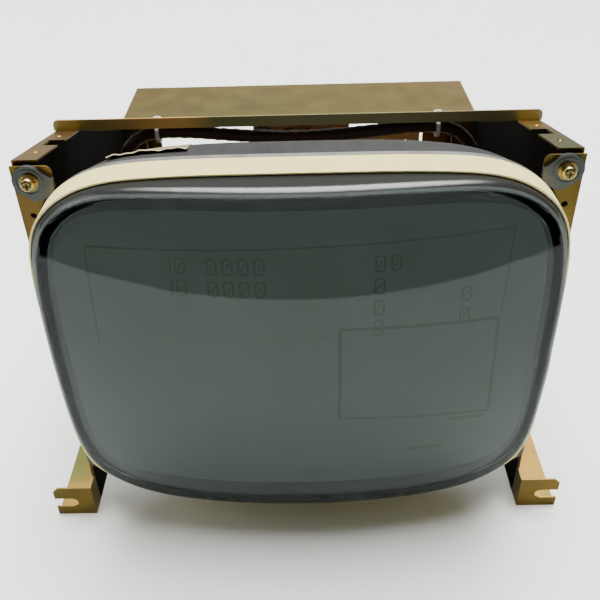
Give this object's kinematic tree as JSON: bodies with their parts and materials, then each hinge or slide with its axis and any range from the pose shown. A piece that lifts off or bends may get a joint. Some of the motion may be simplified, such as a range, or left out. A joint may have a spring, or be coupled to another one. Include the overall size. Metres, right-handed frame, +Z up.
{
  "type": "cathode ray tube",
  "caption": "Colour picture tube with yoke, magnet rings, degaussing coil and boards in an open bent-steel mounting frame with slotted front feet.",
  "frame": {"origin": "under the middle of the whole object, on the surface it stands on", "axes": "+Z up, screen faces -Y, +X to the right of a person behind the camera looking at the screen"},
  "size_m": [0.3888, 0.428, 0.2983],
  "materials": {
    "screen_glass": "dark tinted, polished",
    "phosphor": "fine matt coating",
    "mask_steel": "blackened",
    "funnel_coat": "matt graphite coat over glass",
    "neck_glass": "clear",
    "gun_metal": "satin",
    "plain_steel": "satin grey",
    "tape": "cream glass-cloth tape",
    "fastener_zinc": "yellow zinc, bright",
    "rubber": "matt black",
    "lead_red": "silicone insulation",
    "label_paper": "aged",
    "copper_wire": "varnished enamelled copper",
    "white_plastic": "moulded",
    "ferrite": "sintered, matt",
    "terminal_board": "phenolic",
    "magnet_grey": "bonded ferrite",
    "lock_plastic": "moulded",
    "socket_plastic": "moulded",
    "circuit_board": "phenolic laminate",
    "components": "mixed small parts",
    "coil_tape": "brown wrapping tape",
    "nylon": "natural nylon",
    "zinc_steel": "yellow chromate zinc plating",
    "potting": "moulded resin",
    "knob_plastic": "moulded",
    "shaft_plastic": "moulded",
    "black_plastic": "moulded",
    "heat_sink": "extruded"
  },
  "bodies": {
    "chassis": {"glass_panel": "screen_glass", "phosphor_screen": "phosphor", "shadow_mask": "mask_steel", "mask_frame": "mask_steel", "mask_springs": "mask_steel", "inner_shield": "mask_steel", "glass_funnel": "funnel_coat", "neck_tube": "neck_glass", "electron_gun": "gun_metal", "base_pins": "gun_metal", "rim_band": "plain_steel", "mounting_lugs": "plain_steel", "core_clips": "plain_steel", "neck_clamps": "plain_steel", "band_tape": "tape", "corner_screws": "fastener_zinc", "corner_washers": "fastener_zinc", "frame_screws": "fastener_zinc", "anode_cap": "rubber", "yoke_wedges": "rubber", "anode_lead": "lead_red", "funnel_label": "label_paper", "line_coils": "copper_wire", "frame_coils": "copper_wire", "yoke_former": "white_plastic", "ring_sleeve": "white_plastic", "ferrite_core": "ferrite", "flyback_core": "ferrite", "yoke_terminals": "terminal_board", "tube_socket": "socket_plastic", "neck_board": "circuit_board", "main_board": "circuit_board", "deflection_board": "circuit_board", "neck_board_parts": "components", "board_parts": "components", "degauss_coil": "coil_tape", "cable_ties": "nylon", "side_frame_right": "zinc_steel", "side_frame_left": "zinc_steel", "top_bar": "zinc_steel", "base_tray": "zinc_steel", "rear_panel": "zinc_steel", "rear_cover": "zinc_steel", "board_standoffs": "zinc_steel", "flyback_transformer": "potting", "control_housings": "black_plastic", "rear_connectors": "black_plastic", "heat_sinks": "heat_sink"},
    "purity_ring_a": {"purity_ring_a": "magnet_grey"},
    "purity_ring_b": {"purity_ring_b": "magnet_grey"},
    "four_pole_ring_a": {"four_pole_ring_a": "magnet_grey"},
    "four_pole_ring_b": {"four_pole_ring_b": "magnet_grey"},
    "six_pole_ring_a": {"six_pole_ring_a": "magnet_grey"},
    "six_pole_ring_b": {"six_pole_ring_b": "magnet_grey"},
    "lock_ring": {"lock_ring": "lock_plastic"},
    "focus_knob": {"focus_knob": "knob_plastic"},
    "screen_knob": {"screen_knob": "knob_plastic"},
    "brightness_shaft": {"brightness_shaft": "shaft_plastic"},
    "contrast_shaft": {"contrast_shaft": "shaft_plastic"},
    "height_shaft": {"height_shaft": "shaft_plastic"}
  },
  "joints": [
    {"name": "purity_ring_a_turn", "type": "hinge", "parent": "chassis", "child": "purity_ring_a", "pos_m": [0, 0.04295, 0.1687], "axis": [0, 1, 0], "continuous": true},
    {"name": "purity_ring_b_turn", "type": "hinge", "parent": "chassis", "child": "purity_ring_b", "pos_m": [0, 0.04555, 0.1687], "axis": [0, 1, 0], "continuous": true},
    {"name": "four_pole_ring_a_turn", "type": "hinge", "parent": "chassis", "child": "four_pole_ring_a", "pos_m": [0, 0.04815, 0.1687], "axis": [0, 1, 0], "continuous": true},
    {"name": "four_pole_ring_b_turn", "type": "hinge", "parent": "chassis", "child": "four_pole_ring_b", "pos_m": [0, 0.05075, 0.1687], "axis": [0, 1, 0], "continuous": true},
    {"name": "six_pole_ring_a_turn", "type": "hinge", "parent": "chassis", "child": "six_pole_ring_a", "pos_m": [0, 0.05335, 0.1687], "axis": [0, 1, 0], "continuous": true},
    {"name": "six_pole_ring_b_turn", "type": "hinge", "parent": "chassis", "child": "six_pole_ring_b", "pos_m": [0, 0.05595, 0.1687], "axis": [0, 1, 0], "continuous": true},
    {"name": "lock_ring_turn", "type": "hinge", "parent": "chassis", "child": "lock_ring", "pos_m": [0, 0.0619, 0.1687], "axis": [0, 1, 0], "range_deg": [0, 60]},
    {"name": "focus_knob_turn", "type": "hinge", "parent": "chassis", "child": "focus_knob", "pos_m": [0.0654, 0.071, 0.066], "axis": [-1, 0, 0], "range_deg": [-135, 135]},
    {"name": "screen_knob_turn", "type": "hinge", "parent": "chassis", "child": "screen_knob", "pos_m": [0.0654, 0.071, 0.044], "axis": [-1, 0, 0], "range_deg": [-135, 135]},
    {"name": "brightness_shaft_turn", "type": "hinge", "parent": "chassis", "child": "brightness_shaft", "pos_m": [-0.04, 0.208, 0.062], "axis": [0, 1, 0], "range_deg": [-150, 150]},
    {"name": "contrast_shaft_turn", "type": "hinge", "parent": "chassis", "child": "contrast_shaft", "pos_m": [-0.015, 0.208, 0.062], "axis": [0, 1, 0], "range_deg": [-150, 150]},
    {"name": "height_shaft_turn", "type": "hinge", "parent": "chassis", "child": "height_shaft", "pos_m": [0.01, 0.208, 0.062], "axis": [0, 1, 0], "range_deg": [-150, 150]}
  ]
}
